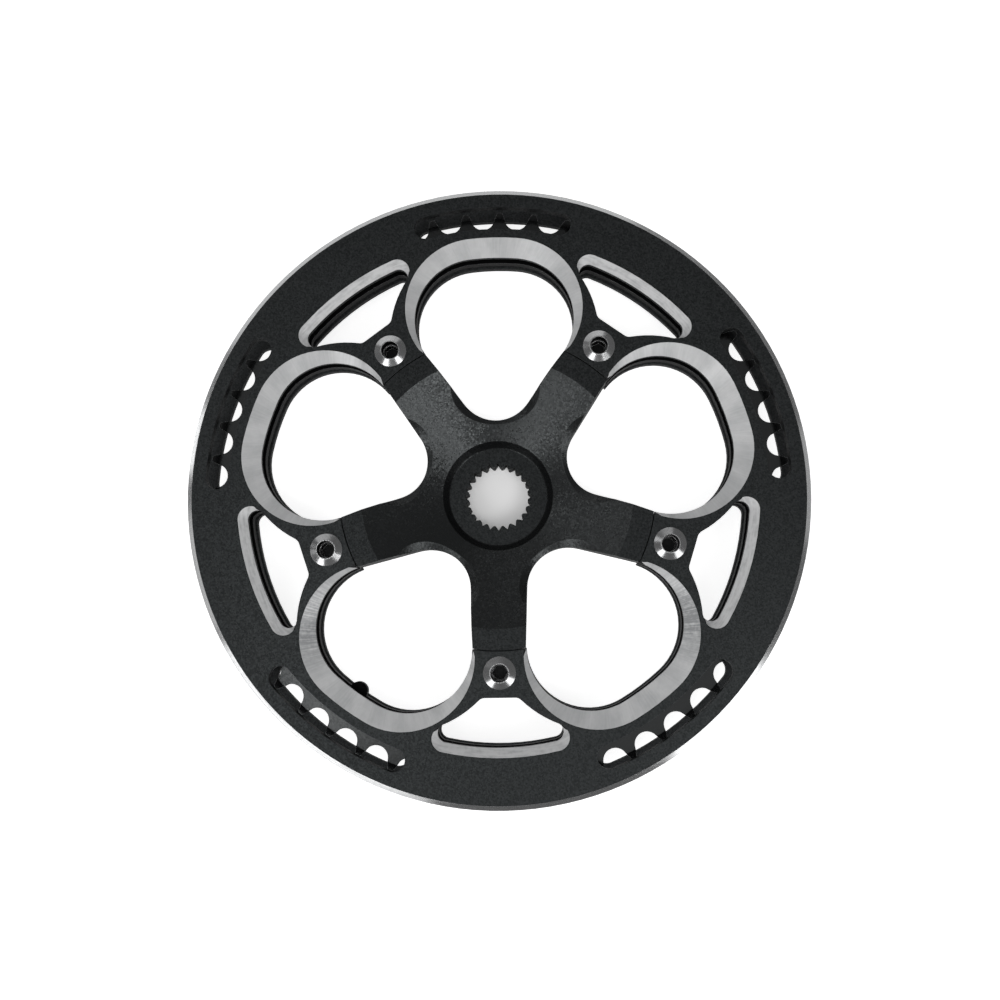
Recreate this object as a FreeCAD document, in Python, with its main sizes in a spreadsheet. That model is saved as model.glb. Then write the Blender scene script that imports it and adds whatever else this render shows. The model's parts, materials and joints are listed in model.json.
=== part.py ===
import FreeCAD
import Part
import os
import Sketcher

os.makedirs("parts", exist_ok=True)
doc = FreeCAD.newDocument("Chainring")

# Driving dimensions in millimetres and degrees. Heights start at the hub's back face.
driving = {
    # the stack of plates, from the front face of the front guard to the back
    "front_height": 26.5,
    "guard_thickness": 3.5,
    "lug_thickness": 5.0,
    "ring_thickness": 3.0,
    "spacer_length": 4.0,
    "rear_thickness": 2.5,
    # teeth for a half-inch chain
    "tooth_count": 52,
    "chain_pitch": 12.7,
    "roller_seat_radius": 4.4,
    "flank_radius": 14.0,
    "flank_angle": 15.0,
    "tooth_height": 2.4,
    "tip_thickness": 1.3,
    "tip_bevel_length": 2.8,
    "tooth_phase": 2.1,
    # outer edges of the two guards
    "guard_overhang": 7.83,
    "rim_bevel_width": 1.8,
    "rim_bevel_depth": 1.2,
    "rear_edge": 0.6,
    # petal openings, five between the arms
    "petal_reach": 87.6,
    "petal_side_radius": 22.9,
    "petal_spread": 6.5,
    "petal_bevel_width": 7.1,
    "petal_bevel_side_width": 3.2,
    "petal_bevel_spread": 0.1,
    "petal_bevel_depth": 2.0,
    # windows, one over the end of each arm
    "window_reach": 91.2,
    "window_end_radius": 3.35,
    "window_spread": 18.95,
    "window_corner_drop": 2.76,
    "window_bevel_width": 3.4,
    "window_bevel_end_width": 1.3,
    "window_bevel_spread": 0.79,
    "window_bevel_depth": 1.6,
    "window_bevel_end_angle": 68.4,
    "spoke_edge_radius": 39.5,
    "tab_margin": 8.7,
    "tab_flat": 10.8,
    "tab_corner_radius": 3.0,
    # arc slots that show the teeth
    "slot_inset": 3.0,
    "slot_width": 8.4,
    "slot_half_angle": 14.1,
    # spider
    "seat_radius": 57.0,
    "seat_gap": 0.4,
    "break_radius": 49.4,
    "recess_rim_radius": 20.6,
    "recess_rim_height": 12.5,
    "hub_floor_radius": 18.6,
    "hub_floor_height": 9.0,
    "hub_floor_edge": 0.35,
    "hub_radius": 26.0,
    "hub_shoulder_height": 7.5,
    "hub_edge": 1.0,
    "arm_tip_width": 19.0,
    "root_radius": 15.0,
    "root_distance": 28.1,
    "root_bevel_radius": 15.0,
    "root_bevel_width": 1.7,
    "root_bevel_depth": 4.0,
    "lug_width": 16.0,
    "lug_end": 7.6,
    # splined bore
    "spline_count": 24,
    "spline_minor_radius": 11.2,
    "spline_major_radius": 12.8,
    "spline_groove_width": 2.2,
    # chainring bolts, sleeve nuts and spacers
    "bolt_setback": 8.0,
    "bolt_radius": 3.9,
    "bolt_length": 15.0,
    "sleeve_radius": 5.0,
    "fit_clearance": 0.1,
    "head_radius": 5.85,
    "head_top_radius": 3.5,
    "head_height": 1.8,
    "head_foot": 0.4,
    "socket_mouth_radius": 3.2,
    "socket_mouth_depth": 5.2,
    "socket_lead_radius": 2.9,
    "socket_lead_depth": 0.7,
    "socket_flats": 4.8,
    "socket_depth": 3.0,
    "flange_radius": 6.5,
    "flange_thickness": 1.8,
    "spacer_radius": 7.5,
    # alignment nub on the chainring's inner edge
    "nub_radius": 3.4,
    "nub_reach": 3.2,
}
sheet = doc.addObject("Spreadsheet::Sheet", "Sizes")
for row, (alias, value) in enumerate(driving.items(), start=1):
    sheet.set(f"A{row}", alias)
    sheet.set(f"B{row}", str(value))
    sheet.setAlias(f"B{row}", alias)
doc.recompute()

armCount = 5
halfSector = f"180 deg / {armCount}"
armTurn = 180.0  # the first arm points down, the first petal up
overrun = 0.25  # share of its own depth by which a cut is carried past the face it leaves
nubPetal = 2  # the petal that holds the nub, counted anticlockwise from the top
hexSides = 6
aside = FreeCAD.Vector(1, -1, 0).normalize()  # a start for directions that tangencies then settle

# Sizes that follow from the driving ones.
lugTop = "Sizes.front_height - Sizes.guard_thickness"
ringTop = f"{lugTop} - Sizes.lug_thickness"
ringBottom = f"{ringTop} - Sizes.ring_thickness"
rearTop = f"{ringBottom} - Sizes.spacer_length"
rearBottom = f"{rearTop} - Sizes.rear_thickness"
plateInner = "Sizes.seat_radius + Sizes.seat_gap"
pitchRadius = "Sizes.chain_pitch / (2 * sin(180 deg / Sizes.tooth_count))"
tipRadius = f"{pitchRadius} + Sizes.tooth_height"
tipInset = "(Sizes.ring_thickness - Sizes.tip_thickness) / 2"
guardRadius = f"{pitchRadius} + Sizes.guard_overhang"
slotRadius = f"{pitchRadius} - Sizes.slot_inset"
slotInner = f"{slotRadius} - Sizes.slot_width / 2"
slotOuter = f"{slotRadius} + Sizes.slot_width / 2"
sleeveHole = "Sizes.sleeve_radius + Sizes.fit_clearance"
boltHole = "Sizes.bolt_radius + Sizes.fit_clearance"
boltCircle = "Sizes.seat_radius + Sizes.bolt_setback"
lugEnd = f"{boltCircle} + Sizes.lug_end"
tabReach = f"{boltCircle} + Sizes.tab_margin"
coneSlope = (
    "(Sizes.front_height - Sizes.recess_rim_height)"
    " / (Sizes.break_radius - Sizes.recess_rim_radius)"
)
splineDepth = "(Sizes.spline_major_radius - Sizes.spline_minor_radius)"


def number(expression):
    return float(sheet.evalExpression(expression))


def vector(x, y):
    return FreeCAD.Vector(number(x), number(y), 0)


def originFeature(body, role):
    return next(feature for feature in body.Origin.OriginFeatures if feature.Role == role)


def newBody(label):
    body = doc.addObject("PartDesign::Body", label)
    body.Label = label
    body.AllowCompound = True
    return body


def newSketch(body, name, height=None, turn=0.0, plane="XY_Plane", axis=(0, 0, 1)):
    sketch = body.newObject("Sketcher::SketchObject", name)
    sketch.AttachmentSupport = [(originFeature(body, plane), "")]
    sketch.MapMode = "FlatFace"
    sketch.AttachmentOffset = FreeCAD.Placement(
        FreeCAD.Vector(0, 0, 0), FreeCAD.Rotation(FreeCAD.Vector(*axis), turn)
    )
    if height:
        sketch.setExpression("AttachmentOffset.Base.z", height)
    return sketch


def bind(sketch, kind, where, expression):
    """Adds a dimension to the sketch and ties it to the sheet."""
    index = sketch.addConstraint(Sketcher.Constraint(kind, *where, number(expression)))
    sketch.setExpression(f"Constraints[{index}]", expression)


def place(sketch, geometry, end, x, y):
    """Ties one end of a curve to a point given by two expressions, 0 meaning on the axis."""
    for kind, axis, expression in (("DistanceX", -2, x), ("DistanceY", -1, y)):
        if expression == "0":
            sketch.addConstraint(Sketcher.Constraint("PointOnObject", geometry, end, axis))
        else:
            bind(sketch, kind, (-1, 1, geometry, end), expression)


def arc(centre, radius, start, end):
    circle = Part.Circle(centre, FreeCAD.Vector(0, 0, 1), radius)
    return Part.ArcOfCircle(circle, circle.parameter(start), circle.parameter(end))


def polygon(sketch, corners):
    """A closed outline of straight lines through corners given as pairs of expressions."""
    points = [vector(x, y) for x, y in corners]
    count = len(points)
    for i in range(count):
        sketch.addGeometry(Part.LineSegment(points[i], points[(i + 1) % count]))
    for i in range(count):
        sketch.addConstraint(Sketcher.Constraint("Coincident", i, 2, (i + 1) % count, 1))
    for i, (x, y) in enumerate(corners):
        place(sketch, i, 1, x, y)


def revolve(body, name, corners):
    """A turned blank about the chainring's axis, from a half section of radius and height."""
    sketch = newSketch(body, f"{name}Section", plane="XZ_Plane")
    polygon(sketch, corners)
    turned = body.newObject("PartDesign::Revolution", name)
    turned.Profile = sketch
    turned.ReferenceAxis = (sketch, ["V_Axis"])
    turned.Angle = 360
    return turned


def cutThrough(body, name, sketch):
    pocket = body.newObject("PartDesign::Pocket", name)
    pocket.Profile = sketch
    pocket.Type = "ThroughAll"
    return pocket


def pattern(body, name, features, count):
    """Repeats features evenly round the chainring's axis."""
    polar = body.newObject("PartDesign::PolarPattern", name)
    polar.Originals = features
    polar.Axis = (originFeature(body, "Z_Axis"), [""])
    polar.Angle = 360
    polar.setExpression("Occurrences", str(count))
    body.Tip = polar
    return polar


def petalOutline(body, name, height, reach, sideRadius, spread):
    """A petal: an arc about the axis, two side arcs tangent to it, closed inside the seat circle."""
    sketch = newSketch(body, name, height)
    floor = "Sizes.seat_radius - Sizes.seat_gap"
    centreY = f"sqrt(({reach} - ({sideRadius}))^2 - ({spread})^2)"
    centre = vector(spread, centreY)
    outward = centre * (number(reach) / centre.Length)
    low = centre + aside * number(sideRadius)
    mirrored = [FreeCAD.Vector(-p.x, p.y, 0) for p in (centre, outward, low)]
    origin = FreeCAD.Vector(0, 0, 0)
    sketch.addGeometry(arc(origin, number(reach), outward, mirrored[1]))
    sketch.addGeometry(arc(centre, number(sideRadius), low, outward))
    sketch.addGeometry(arc(origin, number(floor), low, mirrored[2]))
    sketch.addGeometry(arc(mirrored[0], number(sideRadius), mirrored[1], mirrored[2]))
    sketch.addConstraint(Sketcher.Constraint("Coincident", 0, 3, -1, 1))
    sketch.addConstraint(Sketcher.Constraint("Coincident", 2, 3, -1, 1))
    sketch.addConstraint(Sketcher.Constraint("Tangent", 0, 1, 1, 2))
    sketch.addConstraint(Sketcher.Constraint("Tangent", 0, 2, 3, 1))
    sketch.addConstraint(Sketcher.Constraint("Coincident", 2, 1, 1, 1))
    sketch.addConstraint(Sketcher.Constraint("Coincident", 2, 2, 3, 2))
    sketch.addConstraint(Sketcher.Constraint("Symmetric", 1, 3, 3, 3, -2))
    bind(sketch, "Radius", (0,), reach)
    bind(sketch, "Radius", (1,), sideRadius)
    bind(sketch, "Radius", (2,), floor)
    bind(sketch, "DistanceX", (-1, 1, 1, 3), spread)
    return sketch


def windowOutline(body, name, height):
    """A window: an arc about the axis, rounded ends, curved spoke edges and the tab's flat edge."""
    sketch = newSketch(body, name, height, armTurn)
    reach = "Sizes.window_reach"
    endRadius = "Sizes.window_end_radius"
    spread = "Sizes.window_spread"
    corner = "Sizes.tab_corner_radius"
    cornerY = f"{tabReach} + {corner}"
    endY = f"sqrt(({reach} - {endRadius})^2 - {spread}^2)"
    endCentre = vector(spread, endY)
    outward = endCentre * (number(reach) / endCentre.Length)
    drop = number("Sizes.window_corner_drop")
    low = endCentre + FreeCAD.Vector((number(endRadius) ** 2 - drop**2) ** 0.5, -drop, 0)
    cornerCentre = vector("Sizes.tab_flat / 2", cornerY)
    cornerFoot = vector("Sizes.tab_flat / 2", tabReach)
    knee = cornerCentre + aside * number(corner)
    spokeCentre = knee + aside * number("Sizes.spoke_edge_radius")
    origin = FreeCAD.Vector(0, 0, 0)

    def mirror(point):
        return FreeCAD.Vector(-point.x, point.y, 0)

    sketch.addGeometry(arc(origin, number(reach), outward, mirror(outward)))
    sketch.addGeometry(arc(endCentre, number(endRadius), low, outward))
    sketch.addGeometry(arc(spokeCentre, number("Sizes.spoke_edge_radius"), low, knee))
    sketch.addGeometry(arc(cornerCentre, number(corner), cornerFoot, knee))
    sketch.addGeometry(Part.LineSegment(cornerFoot, mirror(cornerFoot)))
    sketch.addGeometry(arc(mirror(cornerCentre), number(corner), mirror(knee), mirror(cornerFoot)))
    sketch.addGeometry(
        arc(mirror(spokeCentre), number("Sizes.spoke_edge_radius"), mirror(knee), mirror(low))
    )
    sketch.addGeometry(arc(mirror(endCentre), number(endRadius), mirror(outward), mirror(low)))
    sketch.addConstraint(Sketcher.Constraint("Coincident", 0, 3, -1, 1))
    sketch.addConstraint(Sketcher.Constraint("Tangent", 0, 1, 1, 2))
    sketch.addConstraint(Sketcher.Constraint("Coincident", 1, 1, 2, 1))
    sketch.addConstraint(Sketcher.Constraint("Tangent", 2, 2, 3, 2))
    sketch.addConstraint(Sketcher.Constraint("Tangent", 3, 1, 4, 1))
    sketch.addConstraint(Sketcher.Constraint("Tangent", 4, 2, 5, 2))
    sketch.addConstraint(Sketcher.Constraint("Tangent", 5, 1, 6, 1))
    sketch.addConstraint(Sketcher.Constraint("Coincident", 6, 2, 7, 2))
    sketch.addConstraint(Sketcher.Constraint("Tangent", 7, 1, 0, 2))
    sketch.addConstraint(Sketcher.Constraint("Horizontal", 4))
    for right, left in ((1, 7), (2, 6), (3, 5)):
        sketch.addConstraint(Sketcher.Constraint("Symmetric", right, 3, left, 3, -2))
    bind(sketch, "Radius", (0,), reach)
    bind(sketch, "Radius", (1,), endRadius)
    bind(sketch, "Radius", (2,), "Sizes.spoke_edge_radius")
    bind(sketch, "Radius", (3,), corner)
    bind(sketch, "DistanceX", (-1, 1, 1, 3), spread)
    bind(sketch, "DistanceY", (1, 1, 1, 3), "Sizes.window_corner_drop")
    bind(sketch, "DistanceY", (-1, 1, 4, 1), tabReach)
    bind(sketch, "DistanceX", (-1, 1, 4, 1), "Sizes.tab_flat / 2")
    return sketch


def windowBevelOutline(body, name, height, reach, endRadius, spread):
    """The bevel over a window: an arc about the axis with rounded ends, closed across the opening."""
    sketch = newSketch(body, name, height, armTurn)
    endCentre = vector(spread, f"sqrt(({reach} - ({endRadius}))^2 - ({spread})^2)")
    outward = endCentre * (number(reach) / endCentre.Length)
    angle = "Sizes.window_bevel_end_angle * 1 deg"
    low = endCentre + vector(f"cos({angle})", f"-sin({angle})") * number(endRadius)
    origin = FreeCAD.Vector(0, 0, 0)
    left = [FreeCAD.Vector(-p.x, p.y, 0) for p in (endCentre, outward, low)]
    sketch.addGeometry(arc(origin, number(reach), outward, left[1]))
    sketch.addGeometry(arc(endCentre, number(endRadius), low, outward))
    sketch.addGeometry(Part.LineSegment(low, left[2]))
    sketch.addGeometry(arc(left[0], number(endRadius), left[1], left[2]))
    sketch.addConstraint(Sketcher.Constraint("Coincident", 0, 3, -1, 1))
    sketch.addConstraint(Sketcher.Constraint("Tangent", 0, 1, 1, 2))
    sketch.addConstraint(Sketcher.Constraint("Tangent", 0, 2, 3, 1))
    sketch.addConstraint(Sketcher.Constraint("Coincident", 2, 1, 1, 1))
    sketch.addConstraint(Sketcher.Constraint("Coincident", 2, 2, 3, 2))
    sketch.addConstraint(Sketcher.Constraint("Horizontal", 2))
    sketch.addConstraint(Sketcher.Constraint("Symmetric", 1, 3, 3, 3, -2))
    bind(sketch, "Radius", (0,), reach)
    bind(sketch, "Radius", (1,), endRadius)
    bind(sketch, "DistanceX", (-1, 1, 1, 3), spread)
    bind(sketch, "DistanceY", (1, 1, 1, 3), f"({endRadius}) * sin({angle})")
    return sketch


def slotOutline(body, name, height):
    """An arc slot about the axis with round ends."""
    sketch = newSketch(body, name, height)
    angle = "Sizes.slot_half_angle * 1 deg"
    endX = f"({slotRadius}) * sin({angle})"
    endY = f"({slotRadius}) * cos({angle})"
    end = vector(endX, endY)
    inner = end * (number(slotInner) / end.Length)
    outer = end * (number(slotOuter) / end.Length)
    origin = FreeCAD.Vector(0, 0, 0)
    left = [FreeCAD.Vector(-p.x, p.y, 0) for p in (end, inner, outer)]
    radius = number("Sizes.slot_width / 2")
    sketch.addGeometry(arc(origin, number(slotOuter), outer, left[2]))
    sketch.addGeometry(arc(left[0], radius, left[2], left[1]))
    sketch.addGeometry(arc(origin, number(slotInner), inner, left[1]))
    sketch.addGeometry(arc(end, radius, inner, outer))
    for curve in (0, 2):
        sketch.addConstraint(Sketcher.Constraint("Coincident", curve, 3, -1, 1))
    sketch.addConstraint(Sketcher.Constraint("Tangent", 0, 2, 1, 1))
    sketch.addConstraint(Sketcher.Constraint("Tangent", 1, 2, 2, 2))
    sketch.addConstraint(Sketcher.Constraint("Tangent", 2, 1, 3, 1))
    sketch.addConstraint(Sketcher.Constraint("Tangent", 3, 2, 0, 1))
    sketch.addConstraint(Sketcher.Constraint("Horizontal", 1, 3, 3, 3))
    bind(sketch, "Radius", (0,), slotOuter)
    bind(sketch, "Radius", (2,), slotInner)
    bind(sketch, "DistanceX", (-1, 1, 3, 3), endX)
    return sketch


def roundHole(body, name, height, radius):
    """A round hole on the bolt circle."""
    sketch = newSketch(body, name, height, armTurn)
    centre = vector("0", boltCircle)
    sketch.addGeometry(Part.Circle(centre, FreeCAD.Vector(0, 0, 1), number(radius)))
    place(sketch, 0, 3, "0", boltCircle)
    bind(sketch, "Radius", (0,), radius)
    return sketch


def bevelSections(inner, widths):
    """A bevel's upper and lower outlines, the lower one carried on past the wall so that they cross."""
    upper = [f"{size} + {width}" for size, width in zip(inner, widths)]
    lower = [f"{size} - {width} * {overrun}" for size, width in zip(inner, widths)]
    return upper, lower


def plateOpenings(body, top, holeRadius, slotted):
    """Cuts the petals, windows, bolt holes and slots that the plates share."""
    cuts = [
        cutThrough(
            body,
            "Petal",
            petalOutline(
                body, "PetalOutline", top, "Sizes.petal_reach", "Sizes.petal_side_radius", "Sizes.petal_spread"
            ),
        ),
        cutThrough(body, "Window", windowOutline(body, "WindowOutline", top)),
        cutThrough(body, "BoltHole", roundHole(body, "BoltHoleOutline", top, holeRadius)),
    ]
    if slotted:
        cuts.append(cutThrough(body, "Slot", slotOutline(body, "SlotOutline", top)))
    return pattern(body, "OpeningPattern", cuts, armCount)


def frontGuard():
    """The outer guard: a turned plate with bevelled rim, petals and windows."""
    body = newBody("front_guard")
    revolve(
        body,
        "Plate",
        [
            (plateInner, lugTop),
            (guardRadius, lugTop),
            (guardRadius, "Sizes.front_height - Sizes.rim_bevel_depth"),
            (f"{guardRadius} - Sizes.rim_bevel_width", "Sizes.front_height"),
            (plateInner, "Sizes.front_height"),
        ],
    )
    plateOpenings(body, "Sizes.front_height", boltHole, True)
    upper, lower = bevelSections(
        ("Sizes.petal_reach", "Sizes.petal_side_radius", "Sizes.petal_spread"),
        ("Sizes.petal_bevel_width", "Sizes.petal_bevel_side_width", "Sizes.petal_bevel_spread"),
    )
    petalBevel = body.newObject("PartDesign::SubtractiveLoft", "PetalBevel")
    petalBevel.Profile = petalOutline(body, "PetalBevelTop", "Sizes.front_height", *upper)
    foot = f"Sizes.front_height - Sizes.petal_bevel_depth * {1 + overrun}"
    petalBevel.Sections = [petalOutline(body, "PetalBevelFoot", foot, *lower)]
    petalBevel.Ruled = True
    upper, lower = bevelSections(
        ("Sizes.window_reach", "Sizes.window_end_radius", "Sizes.window_spread"),
        ("Sizes.window_bevel_width", "Sizes.window_bevel_end_width", "Sizes.window_bevel_spread"),
    )
    windowBevel = body.newObject("PartDesign::SubtractiveLoft", "WindowBevel")
    windowBevel.Profile = windowBevelOutline(body, "WindowBevelTop", "Sizes.front_height", *upper)
    foot = f"Sizes.front_height - Sizes.window_bevel_depth * {1 + overrun}"
    windowBevel.Sections = [windowBevelOutline(body, "WindowBevelFoot", foot, *lower)]
    windowBevel.Ruled = True
    pattern(body, "BevelPattern", [petalBevel, windowBevel], armCount)
    return body


def rearGuard():
    """The inner guard: a plain plate with the same openings and broken outer edges."""
    body = newBody("rear_guard")
    revolve(
        body,
        "Plate",
        [
            (plateInner, rearBottom),
            (f"{guardRadius} - Sizes.rear_edge", rearBottom),
            (guardRadius, f"{rearBottom} + Sizes.rear_edge"),
            (guardRadius, f"{rearTop} - Sizes.rear_edge"),
            (f"{guardRadius} - Sizes.rear_edge", rearTop),
            (plateInner, rearTop),
        ],
    )
    plateOpenings(body, rearTop, sleeveHole, True)
    return body


def toothGap(body):
    """One gap between teeth: a roller seat on the pitch circle with two rounded flanks."""
    sketch = newSketch(body, "ToothGapOutline", ringTop)
    sketch.setExpression("AttachmentOffset.Rotation.Angle", "Sizes.tooth_phase * 1 deg")
    seat = "Sizes.roller_seat_radius"
    angle = "Sizes.flank_angle * 1 deg"
    mouth = f"{tipRadius} + Sizes.tooth_height * {overrun}"
    seatCentre = vector("0", pitchRadius)
    direction = FreeCAD.Vector(number(f"cos({angle})"), -number(f"sin({angle})"), 0)
    foot = seatCentre + direction * number(seat)
    flankCentre = foot + direction * number("Sizes.flank_radius")
    rise = number(mouth) - flankCentre.y
    reach = (number("Sizes.flank_radius") ** 2 - rise**2) ** 0.5
    top = FreeCAD.Vector(flankCentre.x - reach, number(mouth), 0)
    left = [FreeCAD.Vector(-p.x, p.y, 0) for p in (foot, flankCentre, top)]
    flank = number("Sizes.flank_radius")
    sketch.addGeometry(arc(seatCentre, number(seat), left[0], foot))
    sketch.addGeometry(arc(flankCentre, flank, top, foot))
    sketch.addGeometry(Part.LineSegment(top, left[2]))
    sketch.addGeometry(arc(left[1], flank, left[0], left[2]))
    sketch.addConstraint(Sketcher.Constraint("Tangent", 0, 2, 1, 2))
    sketch.addConstraint(Sketcher.Constraint("Coincident", 1, 1, 2, 1))
    sketch.addConstraint(Sketcher.Constraint("Coincident", 2, 2, 3, 2))
    sketch.addConstraint(Sketcher.Constraint("Tangent", 3, 1, 0, 1))
    sketch.addConstraint(Sketcher.Constraint("Horizontal", 2))
    sketch.addConstraint(Sketcher.Constraint("Symmetric", 1, 3, 3, 3, -2))
    sketch.addConstraint(Sketcher.Constraint("Equal", 1, 3))
    bind(sketch, "DistanceY", (-1, 1, 0, 3), pitchRadius)
    bind(sketch, "Radius", (0,), seat)
    bind(sketch, "Radius", (1,), "Sizes.flank_radius")
    bind(sketch, "DistanceY", (-1, 1, 2, 1), mouth)
    bind(sketch, "DistanceY", (0, 2, 0, 3), f"{seat} * sin({angle})")
    return cutThrough(body, "ToothGap", sketch)


def chainring():
    """The toothed plate: turned with a tapered rim, then cut for openings and teeth."""
    body = newBody("chainring")
    taperStart = f"{tipRadius} - Sizes.tip_bevel_length"
    revolve(
        body,
        "Plate",
        [
            (plateInner, ringBottom),
            (taperStart, ringBottom),
            (tipRadius, f"{ringBottom} + {tipInset}"),
            (tipRadius, f"{ringTop} - {tipInset}"),
            (taperStart, ringTop),
            (plateInner, ringTop),
        ],
    )
    plateOpenings(body, ringTop, sleeveHole, False)
    nub = newSketch(body, "NubOutline", ringTop)
    nub.setExpression("AttachmentOffset.Rotation.Angle", f"{nubPetal} * 360 deg / {armCount}")
    nubCentre = "Sizes.petal_reach - Sizes.nub_reach + Sizes.nub_radius"
    nub.addGeometry(Part.Circle(vector("0", nubCentre), FreeCAD.Vector(0, 0, 1), number("Sizes.nub_radius")))
    place(nub, 0, 3, "0", nubCentre)
    bind(nub, "Radius", (0,), "Sizes.nub_radius")
    pad = body.newObject("PartDesign::Pad", "Nub")
    pad.Profile = nub
    pad.Reversed = True
    pad.setExpression("Length", "Sizes.ring_thickness")
    pattern(body, "TeethPattern", [toothGap(body)], "Sizes.tooth_count")
    return body


def armGap(body):
    """The gap between two arms: a round root, tapering arm sides and the narrower lugs."""
    sketch = newSketch(body, "ArmGapOutline", "Sizes.front_height")
    outRadius = f"({lugEnd} + Sizes.lug_end * {overrun})"

    def onArm(radius, width):
        angle = f"({halfSector} - asin({width} / 2 / {radius}))"
        return (f"{radius} * sin({angle})", f"{radius} * cos({angle})")

    tip = onArm("Sizes.seat_radius", "Sizes.arm_tip_width")
    lugFoot = onArm("Sizes.seat_radius", "Sizes.lug_width")
    lugOut = onArm(outRadius, "Sizes.lug_width")
    rootCentreY = "Sizes.root_distance + Sizes.root_radius"
    rootCentre = vector("0", rootCentreY)
    side = rootCentre + aside * number("Sizes.root_radius")
    right = [side, vector(*tip), vector(*lugFoot), vector(*lugOut)]
    left = [FreeCAD.Vector(-p.x, p.y, 0) for p in right]
    sketch.addGeometry(arc(rootCentre, number("Sizes.root_radius"), left[0], right[0]))
    for points in (right, left):
        for start, end in zip(points[:-1], points[1:]):
            sketch.addGeometry(Part.LineSegment(start, end))
    sketch.addGeometry(arc(FreeCAD.Vector(0, 0, 0), number(outRadius), right[3], left[3]))
    sketch.addConstraint(Sketcher.Constraint("Tangent", 0, 2, 1, 1))
    sketch.addConstraint(Sketcher.Constraint("Tangent", 0, 1, 4, 1))
    for first in (1, 2, 4, 5):
        sketch.addConstraint(Sketcher.Constraint("Coincident", first, 2, first + 1, 1))
    sketch.addConstraint(Sketcher.Constraint("Coincident", 7, 3, -1, 1))
    sketch.addConstraint(Sketcher.Constraint("Coincident", 3, 2, 7, 1))
    sketch.addConstraint(Sketcher.Constraint("Coincident", 6, 2, 7, 2))
    place(sketch, 0, 3, "0", rootCentreY)
    bind(sketch, "Radius", (0,), "Sizes.root_radius")
    for line, corner in ((1, tip), (2, lugFoot), (3, lugOut)):
        place(sketch, line, 2, *corner)
    for line in (1, 2):
        sketch.addConstraint(Sketcher.Constraint("Symmetric", line, 2, line + 3, 2, -2))
    sketch.addConstraint(Sketcher.Constraint("Horizontal", 3, 2, 6, 2))
    return cutThrough(body, "ArmGap", sketch)


def rootBevel(body):
    """A crescent bevel at the root of an arm gap, square to the dished face and fading up the arms."""
    slope = f"atan({coneSlope})"
    centreRadius = (
        "Sizes.root_distance - Sizes.root_bevel_width"
        f" + Sizes.root_bevel_radius * cos({slope})"
    )
    faceHeight = f"Sizes.recess_rim_height + ({centreRadius} - Sizes.recess_rim_radius) * {coneSlope}"
    cone = body.newObject("PartDesign::SubtractiveCone", "RootBevel")
    cone.AttachmentSupport = [(originFeature(body, "XY_Plane"), "")]
    cone.MapMode = "FlatFace"
    cone.AttachmentOffset = FreeCAD.Placement(
        FreeCAD.Vector(0, 0, 0), FreeCAD.Rotation(FreeCAD.Vector(1, 0, 0), 1)
    )
    cone.setExpression("AttachmentOffset.Rotation.Angle", slope)
    cone.setExpression("AttachmentOffset.Base.y", f"{centreRadius} + Sizes.root_bevel_depth * sin({slope})")
    cone.setExpression("AttachmentOffset.Base.z", f"{faceHeight} - Sizes.root_bevel_depth * cos({slope})")
    cone.setExpression("Radius1", "Sizes.root_bevel_radius - Sizes.root_bevel_depth")
    cone.setExpression("Radius2", "Sizes.root_bevel_radius + Sizes.root_bevel_depth")
    cone.setExpression("Height", "2 * Sizes.root_bevel_depth")
    return cone


def splineGroove(body):
    """One V groove of the splined bore, open towards the axis."""
    sketch = newSketch(body, "SplineGrooveOutline", "Sizes.hub_floor_height")
    mouth = f"Sizes.spline_minor_radius - {splineDepth} * {overrun}"
    half = f"Sizes.spline_groove_width / 2 * {1 + overrun}"
    left = vector(half, mouth)
    right = FreeCAD.Vector(-left.x, left.y, 0)
    bottom = vector("0", "Sizes.spline_major_radius")
    for start, end in ((left, bottom), (bottom, right), (right, left)):
        sketch.addGeometry(Part.LineSegment(start, end))
    for first, second in ((0, 1), (1, 2), (2, 0)):
        sketch.addConstraint(Sketcher.Constraint("Coincident", first, 2, second, 1))
    place(sketch, 0, 2, "0", "Sizes.spline_major_radius")
    place(sketch, 0, 1, half, mouth)
    sketch.addConstraint(Sketcher.Constraint("Symmetric", 0, 1, 1, 2, -2))
    return cutThrough(body, "SplineGroove", sketch)


def spider():
    """The dished carrier: a turned blank cut into five arms, with a splined bore."""
    body = newBody("spider")
    revolve(
        body,
        "Blank",
        [
            ("Sizes.spline_minor_radius", "0"),
            ("Sizes.hub_radius - Sizes.hub_edge", "0"),
            ("Sizes.hub_radius", "Sizes.hub_edge"),
            ("Sizes.hub_radius", "Sizes.hub_shoulder_height"),
            ("Sizes.seat_radius", ringTop),
            (lugEnd, ringTop),
            (lugEnd, lugTop),
            ("Sizes.seat_radius", lugTop),
            ("Sizes.seat_radius", "Sizes.front_height"),
            ("Sizes.break_radius", "Sizes.front_height"),
            ("Sizes.recess_rim_radius", "Sizes.recess_rim_height"),
            ("Sizes.hub_floor_radius", "Sizes.hub_floor_height + Sizes.hub_floor_edge"),
            ("Sizes.hub_floor_radius - Sizes.hub_floor_edge", "Sizes.hub_floor_height"),
            ("Sizes.spline_minor_radius", "Sizes.hub_floor_height"),
        ],
    )
    cuts = [armGap(body)]
    cuts.append(cutThrough(body, "BoltHole", roundHole(body, "BoltHoleOutline", lugTop, sleeveHole)))
    pattern(body, "ArmPattern", cuts, armCount)
    pattern(body, "RootBevelPattern", [rootBevel(body)], armCount)
    pattern(body, "SplinePattern", [splineGroove(body)], "Sizes.spline_count")
    return body


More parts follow.
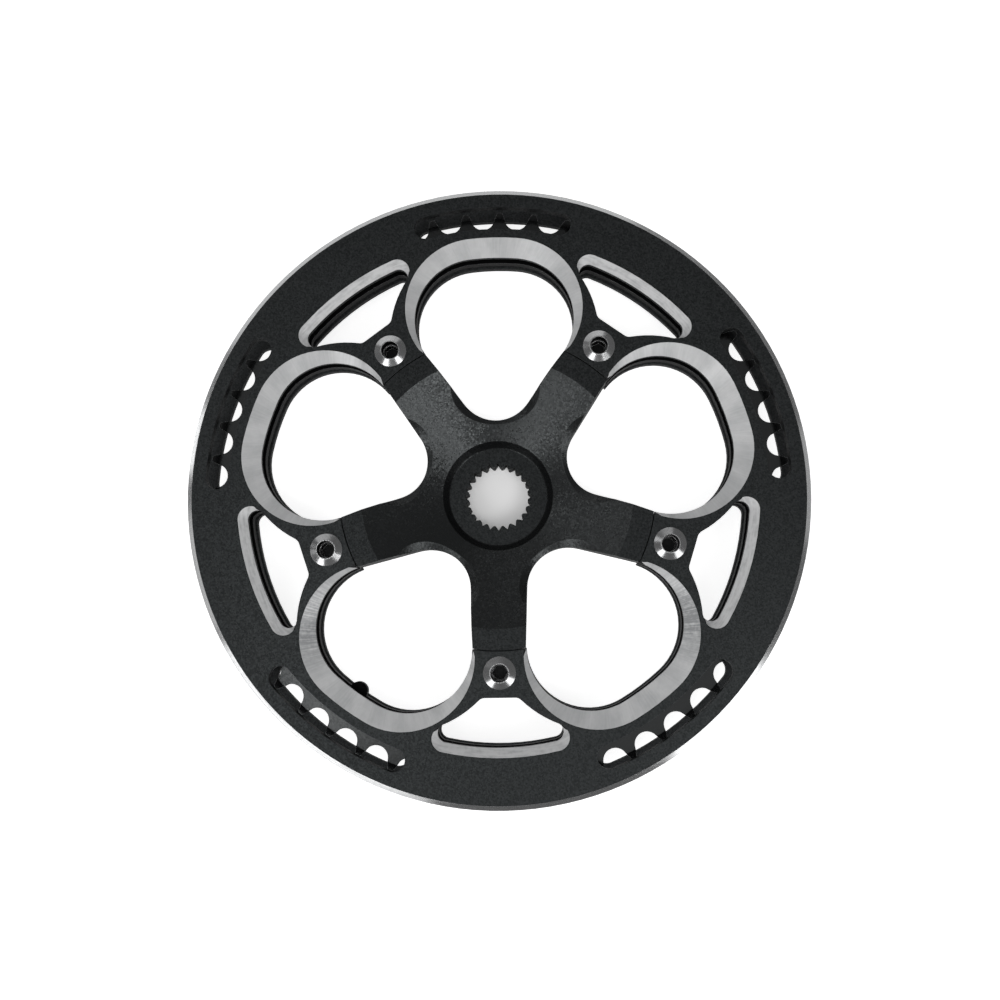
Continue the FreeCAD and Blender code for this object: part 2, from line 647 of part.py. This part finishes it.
def turnedOnBoltCircle(body, name, corners):
    """A turned piece on the bolt circle, from a half section of radius and height about its own axis."""
    sketch = newSketch(body, f"{name}Section", plane="YZ_Plane", turn=180.0, axis=(0, 1, 0))
    polygon(sketch, [(f"{boltCircle} + {radius}", height) for radius, height in corners])
    axis = sketch.addGeometry(
        Part.LineSegment(
            vector(boltCircle, corners[0][1]), vector(boltCircle, corners[-1][1])
        ),
        True,
    )
    place(sketch, axis, 1, boltCircle, corners[0][1])
    place(sketch, axis, 2, boltCircle, corners[-1][1])
    turned = body.newObject("PartDesign::Revolution", name)
    turned.Profile = sketch
    turned.ReferenceAxis = (sketch, ["Axis0"])
    turned.Angle = 360
    return turned


def chainringBolts():
    """Five bolts with conical heads and hexagon sockets deep in a round mouth."""
    body = newBody("chainring_bolts")
    headTop = "Sizes.front_height + Sizes.head_height"
    mouthFloor = f"{headTop} - Sizes.socket_mouth_depth"
    leadFoot = f"{mouthFloor} - Sizes.socket_lead_depth"
    shank = turnedOnBoltCircle(
        body,
        "Bolt",
        [
            ("0", "Sizes.front_height - Sizes.bolt_length"),
            ("Sizes.bolt_radius", "Sizes.front_height - Sizes.bolt_length"),
            ("Sizes.bolt_radius", "Sizes.front_height"),
            ("Sizes.head_radius", "Sizes.front_height"),
            ("Sizes.head_radius", "Sizes.front_height + Sizes.head_foot"),
            ("Sizes.head_top_radius", headTop),
            ("Sizes.socket_mouth_radius", headTop),
            ("Sizes.socket_mouth_radius", mouthFloor),
            ("Sizes.socket_lead_radius", mouthFloor),
            ("Sizes.socket_lead_radius - Sizes.socket_lead_depth", leadFoot),
            ("0", leadFoot),
        ],
    )
    socket = newSketch(body, "SocketOutline", mouthFloor, armTurn)
    corners = []
    for i in range(hexSides):
        radius = f"Sizes.socket_flats / 2 / cos(180 deg / {hexSides})"
        angle = f"{i} * 360 deg / {hexSides}"
        corners.append((f"{radius} * cos({angle})", f"{boltCircle} + {radius} * sin({angle})"))
    polygon(socket, corners)
    pocket = body.newObject("PartDesign::Pocket", "Socket")
    pocket.Profile = socket
    pocket.setExpression("Length", "Sizes.socket_depth")
    pattern(body, "BoltPattern", [shank, pocket], armCount)
    return body


def sleeveNuts():
    """Five flanged sleeves that take the bolts from behind."""
    body = newBody("sleeve_nuts")
    flangeBottom = f"{rearBottom} - Sizes.flange_thickness"
    sleeveTop = f"{lugTop} - Sizes.fit_clearance"
    nut = turnedOnBoltCircle(
        body,
        "Nut",
        [
            (boltHole, flangeBottom),
            ("Sizes.flange_radius", flangeBottom),
            ("Sizes.flange_radius", rearBottom),
            ("Sizes.sleeve_radius", rearBottom),
            ("Sizes.sleeve_radius", sleeveTop),
            (boltHole, sleeveTop),
        ],
    )
    pattern(body, "NutPattern", [nut], armCount)
    return body


def guardSpacers():
    """Five rings that hold the rear guard away from the chainring."""
    body = newBody("guard_spacers")
    spacer = turnedOnBoltCircle(
        body,
        "Spacer",
        [
            (sleeveHole, rearTop),
            ("Sizes.spacer_radius", rearTop),
            ("Sizes.spacer_radius", ringBottom),
            (sleeveHole, ringBottom),
        ],
    )
    pattern(body, "SpacerPattern", [spacer], armCount)
    return body


builders = (spider, frontGuard, chainring, rearGuard, chainringBolts, sleeveNuts, guardSpacers)
bodies = [build() for build in builders]
doc.recompute()

failed = [o.Name for o in doc.Objects if "Invalid" in o.State or "Error" in o.State]
if failed:
    raise RuntimeError("failed objects: " + ", ".join(failed))
for body in bodies:
    if body.Shape.isNull() or not body.Shape.isValid():
        raise RuntimeError(f"{body.Label} has no valid shape")
for body in bodies:
    body.Shape.exportStep(f"parts/{body.Label}.step")
    print(f"{body.Label}: {len(body.Shape.Solids)} solids, {body.Shape.Volume:.1f} cubic millimetres")
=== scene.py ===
import json
import math

import bpy
from mathutils import Matrix, Vector

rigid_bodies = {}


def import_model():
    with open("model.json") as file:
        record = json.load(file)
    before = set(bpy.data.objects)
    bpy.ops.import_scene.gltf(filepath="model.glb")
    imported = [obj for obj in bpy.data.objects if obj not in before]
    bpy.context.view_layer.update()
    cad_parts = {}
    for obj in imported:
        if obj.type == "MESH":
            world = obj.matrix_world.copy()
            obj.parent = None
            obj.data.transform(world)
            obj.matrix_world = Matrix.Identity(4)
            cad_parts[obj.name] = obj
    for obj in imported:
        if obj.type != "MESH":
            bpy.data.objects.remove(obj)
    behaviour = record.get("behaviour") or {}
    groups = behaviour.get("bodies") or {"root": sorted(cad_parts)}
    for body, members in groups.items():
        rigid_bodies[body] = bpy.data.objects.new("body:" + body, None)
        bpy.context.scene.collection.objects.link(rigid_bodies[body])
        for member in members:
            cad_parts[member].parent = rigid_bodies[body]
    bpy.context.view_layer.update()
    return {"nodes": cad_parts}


for leftover in list(bpy.data.objects):  # the start-up cube, lamp and camera
    bpy.data.objects.remove(leftover)
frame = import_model()
print("loaded", len(frame["nodes"]), "pieces")

layout = {
    "arms": 5,
    "petalCentre": 0.063,  # from the axis to the middle of a petal opening, metres
    "petalBevelReach": 0.0365,  # bevel faces nearer to a petal's middle may belong to it
    "leanStep": 0.001,  # how far ahead of a face to look, to see which way it leans
    "boltCircle": 0.065,
    "socketRadius": 0.0033,  # faces nearer to a bolt's axis belong to its socket
    "leadInLow": 0.5,  # upward share of the cone that leads a key into the socket
    "leadInHigh": 0.9,
    "rimRadius": 0.1075,  # faces further out belong to the turned rim
    "flatEnough": 0.995,  # a face's upward share above which it is the plate's own face
    "steepEnough": 0.5,  # and below which it is a wall
    "nubAngle": 234,  # of the chainring's nub round the axis, degrees
    "nubPlace": 0.0835,  # from the axis
    "nubReach": 0.0045,  # faces nearer to that place are the nub's, dull like a wall
}


# small helpers for node trees

def startFinish(name):
    finish = bpy.data.materials.new(name)
    finish.use_nodes = True
    return finish, finish.node_tree, finish.node_tree.nodes["Principled BSDF"]


def put(tree, kind, inputs=None, **settings):
    node = tree.nodes.new(kind)
    for key, value in settings.items():
        setattr(node, key, value)
    for socket, value in (inputs or {}).items():
        if isinstance(value, bpy.types.NodeSocket):
            tree.links.new(value, node.inputs[socket])
        else:
            node.inputs[socket].default_value = value
    return node


def sums(tree, operation, *values):
    return put(tree, "ShaderNodeMath", dict(enumerate(values)), operation=operation).outputs[0]


def vectorSums(tree, operation, *values):
    return put(tree, "ShaderNodeVectorMath", dict(enumerate(values)), operation=operation).outputs[0]


def likeness(tree, first, second):
    # cosine of the angle between two directions
    inputs = {0: first, 1: second}
    return put(tree, "ShaderNodeVectorMath", inputs, operation="DOT_PRODUCT").outputs["Value"]


def product(tree, first, second):
    return sums(tree, "MULTIPLY", first, second)


def blend(tree, first, share, second):
    # a share of the first value and the rest of the second
    return sums(tree, "MULTIPLY_ADD", first, share, product(tree, second, 1.0 - share))


def distance(tree, x, y):
    return sums(tree, "SQRT", sums(tree, "ADD", product(tree, x, x), product(tree, y, y)))


def spread(tree, value, fromLow, fromHigh, toLow, toHigh):
    inputs = {0: value, 1: fromLow, 2: fromHigh, 3: toLow, 4: toHigh}
    return put(tree, "ShaderNodeMapRange", inputs).outputs[0]


def shade(tree, share, *ends):
    # a colour between two, each a plain colour or one made by nodes
    first, second = (end if isinstance(end, bpy.types.NodeSocket) else (*end, 1.0) for end in ends)
    return put(tree, "ShaderNodeMix", {0: share, 6: first, 7: second}, data_type="RGBA").outputs[2]


def grain(tree, place, size, detail=2.0):
    inputs = {"Vector": place, "Scale": 1.0 / size, "Detail": detail}
    return put(tree, "ShaderNodeTexNoise", inputs).outputs["Fac"]


def objectPlace(tree):
    return put(tree, "ShaderNodeTexCoord").outputs["Object"]


def split(tree, vector):
    return put(tree, "ShaderNodeSeparateXYZ", {0: vector}).outputs[:]


def axisPolar(tree):
    # radius from the axis, angle round it and height, in metres and radians
    x, y, z = split(tree, objectPlace(tree))
    return distance(tree, x, y), sums(tree, "ARCTAN2", y, x), z


def petalAngle(tree):
    # angle round the middle of whichever petal opening is nearest
    radius, angle = axisPolar(tree)[:2]
    half = math.pi / layout["arms"]
    fromPetal = sums(tree, "WRAP", sums(tree, "SUBTRACT", angle, math.pi / 2), half, -half)
    across = product(tree, radius, sums(tree, "SINE", fromPetal))
    outward = product(tree, radius, sums(tree, "COSINE", fromPetal))
    return sums(tree, "ARCTAN2", across, sums(tree, "SUBTRACT", outward, layout["petalCentre"]))


edgeFind = {
    "samples": 6,
    "plain": 0.97,  # likeness of the softened and the straight normal where no edge shows
    "fullEdge": 0.75,  # and where the edge shows in full, as real wear and painted highlight
}


def wearAndHighlightEdge(tree, width):
    # the softened normal, and a share near 1 where the surface turns over an edge within that width; that
    # share lightens edges, partly real wear and partly painted highlight
    rounded = put(tree, "ShaderNodeBevel", {0: width}, samples=edgeFind["samples"]).outputs[0]
    straight = put(tree, "ShaderNodeNewGeometry").outputs["True Normal"]
    same = likeness(tree, rounded, straight)
    return rounded, spread(tree, same, edgeFind["plain"], edgeFind["fullEdge"], 0.0, 1.0)


# black anodised pieces

blackGrain = {
    "askew": (0.6, 0.4, 0.9),  # turned so, the grain shows no rows
    "speckleShare": 0.88,  # of the tone, the rest is cloud
    "middle": (0.5, 0.5, 0.5),  # mean of the cells' colours
}


def anodised(name, look):
    finish, tree, shader = startFinish(name)
    place = objectPlace(tree)
    turned = put(tree, "ShaderNodeMapping", {"Vector": place, "Rotation": blackGrain["askew"]}).outputs[0]
    cells = {"Vector": turned, "Scale": 1.0 / look["grainSize"]}
    pits = put(tree, "ShaderNodeTexVoronoi", cells).outputs["Color"]
    speckle = split(tree, pits)[0]
    cloud = grain(tree, place, look["cloudSize"])
    rounded, edge = wearAndHighlightEdge(tree, look["edgeWidth"])
    lightness = blend(tree, speckle, blackGrain["speckleShare"], cloud)
    tone = shade(tree, lightness, look["dark"], look["light"])
    # lighter along edges: real wear, and painted highlights where edges catch the light
    colour = shade(tree, product(tree, edge, look["edgeWearAndHighlight"]), tone, look["wearAndHighlightTone"])
    rough = spread(tree, speckle, 0.0, 1.0, look["rough"], look["smooth"])
    lean = vectorSums(tree, "SUBTRACT", pits, blackGrain["middle"])
    leaning = vectorSums(tree, "MULTIPLY_ADD", lean, (look["tilt"],) * 3, rounded)
    tree.links.new(colour, shader.inputs["Base Color"])
    tree.links.new(rough, shader.inputs["Roughness"])
    tree.links.new(vectorSums(tree, "NORMALIZE", leaning), shader.inputs["Normal"])
    shader.inputs["Specular IOR Level"].default_value = look["gloss"]
    shader.inputs["Specular Tint"].default_value = (*look["tint"], 1.0)
    return finish


guardLook = {
    "dark": (0.0003, 0.0004, 0.0004),
    "light": (0.0218, 0.0231, 0.0238),
    "wearAndHighlightTone": (0.082, 0.082, 0.085),
    "grainSize": 0.00048,  # metres
    "cloudSize": 0.030,
    "edgeWidth": 0.00018,
    "edgeWearAndHighlight": 0.45,
    "smooth": 0.30,
    "rough": 0.44,
    "tilt": 0.03,  # how far the grain's facets lean
    "gloss": 0.24,
    "tint": (0.90, 0.98, 1.0),  # the anodising shines slightly cool
}
turnedLook = dict(guardLook, grainSize=0.00045, gloss=0.18, edgeWearAndHighlight=0.6)  # the spider's flat faces
blastedLook = {  # and its dished arms
    "dark": (0.0002, 0.0002, 0.0003),
    "light": (0.0059, 0.0062, 0.0065),
    "wearAndHighlightTone": (0.053, 0.053, 0.056),
    "grainSize": 0.00050,
    "cloudSize": 0.022,
    "edgeWidth": 0.00025,
    "edgeWearAndHighlight": 0.30,
    "smooth": 0.26,
    "rough": 0.40,
    "tilt": 0.20,
    "gloss": 0.56,
    "tint": (0.93, 0.985, 1.0),
}
wallLook = dict(guardLook, gloss=0.07, smooth=0.55, rough=0.65, edgeWearAndHighlight=0.15)
rearFacePaintedLightLook = dict(guardLook, dark=(0.012, 0.0124, 0.013), light=(0.044, 0.046, 0.047))  # painted light: lighter than the guard's own face, standing in for light that reaches it through the slots
chainringLook = {
    "dark": (0.0018, 0.0018, 0.0019),
    "light": (0.0047, 0.0047, 0.0049),
    "wearAndHighlightTone": (0.21, 0.21, 0.215),
    "grainSize": 0.00040,
    "cloudSize": 0.018,
    "edgeWidth": 0.00022,
    "edgeWearAndHighlight": 0.8,
    "smooth": 0.12,
    "rough": 0.18,
    "tilt": 0.02,
    "gloss": 0.41,
    "tint": (0.95, 0.99, 1.0),
}
chainringWallLook = dict(chainringLook, gloss=0.03, smooth=0.50, rough=0.60, edgeWearAndHighlight=0.18)
# inside the bolts' sockets: painted shade, near black where the recess lies in shade, with painted highlights
# on the hex edges
socketLook = dict(
    chainringLook,
    wearAndHighlightTone=(0.50, 0.50, 0.505),
    edgeWidth=0.00045,
    edgeWearAndHighlight=1.0,
    smooth=0.35,
    rough=0.5,
    gloss=0.15,
)
guardBlack = anodised("guard_black_satin", guardLook)
spiderTurned = anodised("spider_black_turned", turnedLook)
spiderBlasted = anodised("spider_black_blasted", blastedLook)
wallBlack = anodised("wall_black_dull", wallLook)
rearFacePaintedLight = anodised("rear_face_painted_light", rearFacePaintedLightLook)
chainringGrey = anodised("chainring_grey_anodised", chainringLook)
chainringWall = anodised("chainring_wall_dull", chainringWallLook)
socketPaintedShade = anodised("socket_painted_shade", socketLook)
print("black finishes made")


# bare metal: machined bevels, turned rim and fasteners

metalGrain = {
    "lineDetail": 3.0,
    "lineShare": 0.65,  # of the grain, the rest is mottle
    "mottleDetail": 4.0,
    "roughFrom": 0.3,  # grain at which the metal is roughest
    "smoothFrom": 0.7,  # and smoothest
    "coatRough": 0.16,
    "coatIor": 2.0,
}


def bareMetal(name, look, streakWay):
    finish, tree, shader = startFinish(name)
    lines = streakWay(tree, look)
    mottle = grain(tree, objectPlace(tree), look["mottleSize"], metalGrain["mottleDetail"])
    mixed = blend(tree, lines, metalGrain["lineShare"], mottle)
    paleness = spread(tree, mixed, look["darkest"], look["palest"], 0.0, 1.0)
    # broad lighter and darker bands round each petal: painted sheen
    if "wideLines" in look:
        wide = streakWay(tree, dict(look, linesPerRadian=look["wideLines"]))
        paintedSheen = spread(tree, wide, look["wideDark"], look["widePale"], 0.0, 1.0)
        paleness = blend(tree, paintedSheen, look["wideShare"], paleness)
    tone = shade(tree, paleness, look["dark"], look["light"])
    if "markTone" in look:
        patchy = spread(tree, mixed, look["markFull"], look["markNone"], 1.0, 0.0)
        tone = shade(tree, product(tree, lowerFlankDarkening(tree, look), patchy), tone, look["markTone"])
    rounded, edge = wearAndHighlightEdge(tree, look["edgeWidth"])
    # paler along edges: real wear, and painted highlights along the bevels' edges
    colour = shade(tree, edge, tone, look["edgeTone"])
    grainEnds = (metalGrain["roughFrom"], metalGrain["smoothFrom"])
    rough = spread(tree, mixed, *grainEnds, look["rough"], look["smooth"])
    ridges = {"Strength": look["bump"], "Distance": look["streakDepth"], "Height": lines, "Normal": rounded}
    tree.links.new(colour, shader.inputs["Base Color"])
    tree.links.new(rough, shader.inputs["Roughness"])
    tree.links.new(put(tree, "ShaderNodeBump", ridges).outputs[0], shader.inputs["Normal"])
    shader.inputs["Metallic"].default_value = look["metallic"]
    shader.inputs["Specular IOR Level"].default_value = look["gloss"]
    shader.inputs["Coat Weight"].default_value = look["shine"]
    shader.inputs["Coat Roughness"].default_value = metalGrain["coatRough"]
    shader.inputs["Coat IOR"].default_value = metalGrain["coatIor"]
    return finish


def streaks(tree, fine, coarse):
    # a noise drawn out along one way: fine changes quickly, coarse hardly
    place = put(tree, "ShaderNodeCombineXYZ", {0: fine, 1: coarse}).outputs[0]
    return grain(tree, place, 1.0, metalGrain["lineDetail"])


def acrossPetal(tree, look):
    radius = axisPolar(tree)[0]
    turned = product(tree, petalAngle(tree), look["linesPerRadian"])
    return streaks(tree, turned, product(tree, radius, look["drift"]))


def roundAxis(tree, look):
    radius, angle, z = axisPolar(tree)
    depth = product(tree, sums(tree, "ADD", radius, z), look["linesPerMetre"])
    return streaks(tree, depth, product(tree, angle, look["drift"]))


def lowerFlankDarkening(tree, look):
    # strong at the outer flanks of the two lower petals, which are darker there
    x, y = split(tree, objectPlace(tree))[:2]
    across = sums(tree, "SUBTRACT", sums(tree, "ABSOLUTE", x), look["markAcross"])
    along = sums(tree, "SUBTRACT", y, look["markAlong"])
    away = distance(tree, across, along)
    return spread(tree, away, look["markCore"], look["markReach"], look["markStrength"], 0.0)


petalBevelLook = {
    "dark": (0.40, 0.406, 0.412),
    "light": (0.565, 0.568, 0.571),
    "edgeTone": (0.565, 0.568, 0.571),
    "markTone": (0.212, 0.218, 0.224),
    "markStrength": 0.9,
    "markAcross": 0.070,  # middle of the marks to either side, metres
    "markAlong": -0.045,
    "markCore": 0.006,
    "markReach": 0.020,
    "markFull": 0.45,  # grain at which the marks are full
    "markNone": 0.68,  # and gone
    "darkest": 0.3,  # grain at which the metal is darkest
    "palest": 0.7,
    "wideLines": 4.0,  # per radian, broad lighter and darker bands: painted sheen, the milled bevel's reflection painted into its tone
    "wideDark": 0.35,
    "widePale": 0.62,
    "wideShare": 0.55,
    "linesPerRadian": 60.0,
    "drift": 90.0,
    "mottleSize": 0.0012,
    "edgeWidth": 0.00020,
    "metallic": 0.15,
    "gloss": 0.3,
    "shine": 0.3,  # a clear, sharper shine over the milled grain
    "smooth": 0.42,
    "rough": 0.56,
    "bump": 0.25,
    "streakDepth": 0.00003,
}
windowBevelLook = {
    "dark": (0.365, 0.37, 0.376),
    "light": (0.565, 0.568, 0.571),
    "edgeTone": (0.565, 0.568, 0.571),
    "darkest": 0.28,
    "palest": 0.55,
    "linesPerMetre": 900.0,
    "drift": 14.0,
    "mottleSize": 0.0016,
    "edgeWidth": 0.00020,
    "metallic": 0.15,
    "gloss": 0.3,
    "shine": 0.0,
    "smooth": 0.42,
    "rough": 0.56,
    "bump": 0.30,
    "streakDepth": 0.00003,
}
rimLook = {
    "dark": (0.424, 0.43, 0.435),
    "light": (0.518, 0.52, 0.523),
    "edgeTone": (0.565, 0.568, 0.571),
    "darkest": 0.3,
    "palest": 0.7,
    "linesPerMetre": 5200.0,
    "drift": 5.0,
    "mottleSize": 0.0016,
    "edgeWidth": 0.00015,
    "metallic": 1.0,
    "gloss": 0.3,
    "shine": 0.0,
    "smooth": 0.14,
    "rough": 0.24,
    "bump": 0.20,
    "streakDepth": 0.00001,
}
boltLook = dict(
    rimLook,
    dark=(0.365, 0.368, 0.374),
    light=(0.482, 0.485, 0.488),
    linesPerMetre=6000.0,
    drift=3.0,
    mottleSize=0.0007,
    rough=0.26,
    bump=0.18,
)
nutLook = dict(boltLook, dark=(0.247, 0.247, 0.253), light=(0.341, 0.341, 0.347), rough=0.36, smooth=0.24)
spacerLook = dict(boltLook, dark=(0.235, 0.238, 0.244), light=(0.318, 0.32, 0.326), rough=0.40, smooth=0.30)
petalBevelBare = bareMetal("petal_bevel_bare", petalBevelLook, acrossPetal)
windowBevelBare = bareMetal("window_bevel_bare", windowBevelLook, roundAxis)
rimTurned = bareMetal("rim_turned", rimLook, roundAxis)
boltSilver = bareMetal("bolt_bright_turned", boltLook, roundAxis)
nutSteel = bareMetal("nut_steel_turned", nutLook, roundAxis)
spacerGrey = bareMetal("spacer_turned", spacerLook, roundAxis)
print("bare metal finishes made")


# each piece takes its finishes

def dress(piece, finishes, choose=None):
    mesh = frame["nodes"][piece].data
    mesh.materials.clear()
    for finish in finishes.values():
        mesh.materials.append(finish)
    order = list(finishes)
    for face in mesh.polygons:
        face.material_index = order.index(choose(face)) if choose else 0


def nearestDistance(point, start, reach):
    # from the nearest of five places round the axis, the first one at the start angle
    half = math.pi / layout["arms"]
    turned = (math.atan2(point.y, point.x) - start + half) % (2 * half) - half
    radius = math.hypot(point.x, point.y)
    return math.hypot(radius * math.sin(turned), radius * math.cos(turned) - reach)


def petalDistance(point):
    return nearestDistance(point, math.pi / 2, layout["petalCentre"])


def plainFace(face):
    return "wall" if abs(face.normal.z) < layout["steepEnough"] else "face"


def guardFace(face):
    upward = face.normal.z
    outermost = math.hypot(face.center.x, face.center.y) > layout["rimRadius"]
    if outermost and -layout["steepEnough"] < upward < layout["flatEnough"]:
        return "rim"
    if layout["steepEnough"] < upward < layout["flatEnough"]:
        here = petalDistance(face.center)
        ahead = petalDistance(face.center + face.normal * layout["leanStep"])
        leansIn = ahead < here  # towards the petal's middle
        return "petalBevel" if leansIn and here < layout["petalBevelReach"] else "windowBevel"
    return plainFace(face)


def rearFace(face):
    return "inner" if face.normal.z > layout["flatEnough"] else plainFace(face)


def spiderFace(face):
    dished = abs(face.normal.z) <= layout["flatEnough"]
    return "dish" if dished and plainFace(face) == "face" else plainFace(face)


def ringFace(face):
    nub = math.radians(layout["nubAngle"])
    across = face.center.x - layout["nubPlace"] * math.cos(nub)
    along = face.center.y - layout["nubPlace"] * math.sin(nub)
    return "wall" if math.hypot(across, along) < layout["nubReach"] else plainFace(face)


def boltFace(face):
    inSocket = nearestDistance(face.center, -math.pi / 2, layout["boltCircle"]) < layout["socketRadius"]
    leadIn = layout["leadInLow"] < face.normal.z < layout["leadInHigh"]  # this cone stays bright
    return "socket" if inSocket and not leadIn else "head"


guardFinishes = {
    "face": guardBlack,
    "petalBevel": petalBevelBare,
    "windowBevel": windowBevelBare,
    "rim": rimTurned,
    "wall": wallBlack,
}
dress("front_guard", guardFinishes, guardFace)
# the rear guard's inner face takes the painted-light finish
dress("rear_guard", {"face": guardBlack, "wall": wallBlack, "inner": rearFacePaintedLight}, rearFace)
dress("spider", {"face": spiderTurned, "dish": spiderBlasted, "wall": wallBlack}, spiderFace)
dress("chainring", {"face": chainringGrey, "wall": chainringWall}, ringFace)
dress("chainring_bolts", {"head": boltSilver, "socket": socketPaintedShade}, boltFace)
dress("sleeve_nuts", {"all": nutSteel})
dress("guard_spacers", {"all": spacerGrey})
print("pieces dressed")


# floor, light and camera

floorLook = {
    "size": 6.0,
    "drop": 0.0002,  # just below the hub's back, so that the two never share a plane
    "colour": (0.82, 0.82, 0.82),
    "glow": 0.80,  # how white the paper is seen, on top of the light that falls on it
    "boreGlow": 0.19,  # the same in the shade of the bore
    "boreRadius": 0.014,
    "boreFade": 0.004,
}


def layFloor(look):
    half = look["size"] / 2
    corners = [(-half, -half, 0), (half, -half, 0), (half, half, 0), (-half, half, 0)]
    mesh = bpy.data.meshes.new("floor")
    mesh.from_pydata(corners, [], [(0, 1, 2, 3)])
    floor = bpy.data.objects.new("floor", mesh)
    floor.location.z = -look["drop"]
    bpy.context.scene.collection.objects.link(floor)
    paper = bpy.data.materials.new("floor_paper")
    paper.use_nodes = True
    tree = paper.node_tree
    tree.nodes.clear()
    ray = put(tree, "ShaderNodeLightPath").outputs
    mirrored = sums(tree, "MAXIMUM", ray["Is Glossy Ray"], ray["Is Transmission Ray"])
    seen = sums(tree, "MAXIMUM", ray["Is Camera Ray"], mirrored)
    radius = axisPolar(tree)[0]
    fadeEnd = look["boreRadius"] + look["boreFade"]
    white = spread(tree, radius, look["boreRadius"], fadeEnd, look["boreGlow"], look["glow"])
    matt = put(tree, "ShaderNodeBsdfDiffuse", {"Color": (*look["colour"], 1.0)}).outputs[0]
    glow = put(tree, "ShaderNodeEmission", {"Strength": product(tree, seen, white)}).outputs[0]
    both = put(tree, "ShaderNodeAddShader", {0: matt, 1: glow}).outputs[0]
    put(tree, "ShaderNodeOutputMaterial", {"Surface": both})
    mesh.materials.append(paper)


def pointing(azimuth, offAxis):
    turn = math.radians(azimuth)
    lean = math.radians(offAxis)
    return Vector((math.cos(turn) * math.sin(lean), math.sin(turn) * math.sin(lean), math.cos(lean)))


worldLook = {
    "colour": (1.0, 1.0, 1.0),
    "azimuth": 240,  # the room is brightest this way
    "offAxis": 14,
    "bright": 1.12,
    "dim": 0.187,
    "dimFrom": 0.80,  # cosine of the angle to the brightest way
    "brightFrom": 0.99,
}


def lightRoom(look):
    world = bpy.data.worlds.new("studio")
    bpy.context.scene.world = world
    world.use_nodes = True
    tree = world.node_tree
    way = put(tree, "ShaderNodeTexCoord").outputs["Generated"]
    nearness = likeness(tree, way, pointing(look["azimuth"], look["offAxis"]))
    strength = spread(tree, nearness, look["dimFrom"], look["brightFrom"], look["dim"], look["bright"])
    tree.nodes["Background"].inputs["Color"].default_value = (*look["colour"], 1.0)
    tree.links.new(strength, tree.nodes["Background"].inputs["Strength"])


lampAim = 0.02  # height on the axis that every softbox faces, metres
softboxes = {
    "lower_right": {"azimuth": 318, "offAxis": 36, "away": 0.8, "width": 0.32, "height": 0.32, "bright": 4.0},
    "lower_left": {"azimuth": 232, "offAxis": 54, "away": 0.8, "width": 0.30, "height": 0.44, "bright": 3.23},
    "left": {"azimuth": 152, "offAxis": 46, "away": 0.8, "width": 0.26, "height": 0.22, "bright": 1.53},
    "overhead": {"azimuth": 200, "offAxis": 13, "away": 1.0, "width": 0.18, "height": 0.18, "bright": 3.74},
    "low_left": {"azimuth": 228, "offAxis": 82, "away": 0.9, "width": 0.84, "height": 0.16, "bright": 2.21},
    "low_right": {"azimuth": 317, "offAxis": 70, "away": 0.9, "width": 0.40, "height": 0.48, "bright": 2.55},
    "low_far": {"azimuth": 6, "offAxis": 84, "away": 0.9, "width": 0.34, "height": 0.14, "bright": 0.51},
    "low_side": {"azimuth": 164, "offAxis": 83, "away": 0.9, "width": 0.18, "height": 0.14, "bright": 2.55},
    "low_gap": {"azimuth": 188, "offAxis": 80, "away": 0.9, "width": 0.36, "height": 0.22, "bright": 0.71},
    "low_back": {"azimuth": 106, "offAxis": 82, "away": 0.9, "width": 1.50, "height": 0.20, "bright": 0.82},
    "back": {"azimuth": 106, "offAxis": 69, "away": 0.85, "width": 1.20, "height": 0.24, "bright": 0.51},
}


def hangSoftbox(name, box):
    way = pointing(box["azimuth"], box["offAxis"])
    lamp = bpy.data.lights.new(name, "AREA")
    lamp.shape = "RECTANGLE"
    lamp.size = box["width"]
    lamp.size_y = box["height"]
    lamp.energy = box["bright"] * math.pi * box["width"] * box["height"]
    holder = bpy.data.objects.new(name, lamp)
    bpy.context.scene.collection.objects.link(holder)
    holder.location = Vector((0, 0, lampAim)) + way * box["away"]
    holder.rotation_euler = way.to_track_quat("Z", "Y").to_euler()


view = {
    "place": (0.01342, -0.04711, 0.42521),
    "towards": (-0.0305, 0.1094, -0.9936),
    "up": (0.0196, 0.9939, 0.1084),
    "lens": 40.03,  # millimetres, as is the sensor
    "sensor": 36.0,
    "nearest": 0.01,  # metres
}


def setCamera(look):
    camera = bpy.data.objects.new("camera", bpy.data.cameras.new("camera"))
    bpy.context.scene.collection.objects.link(camera)
    back = -Vector(look["towards"]).normalized()
    right = Vector(look["up"]).cross(back).normalized()
    turn = Matrix((right, back.cross(right), back)).transposed()
    camera.matrix_world = Matrix.Translation(Vector(look["place"])) @ turn.to_4x4()
    camera.data.lens = look["lens"]
    camera.data.sensor_width = look["sensor"]
    camera.data.clip_start = look["nearest"]
    bpy.context.scene.camera = camera


layFloor(floorLook)
lightRoom(worldLook)
for boxName, box in softboxes.items():
    hangSoftbox(boxName, box)
setCamera(view)
bpy.context.scene.view_settings.view_transform = "Standard"
print("stage set")
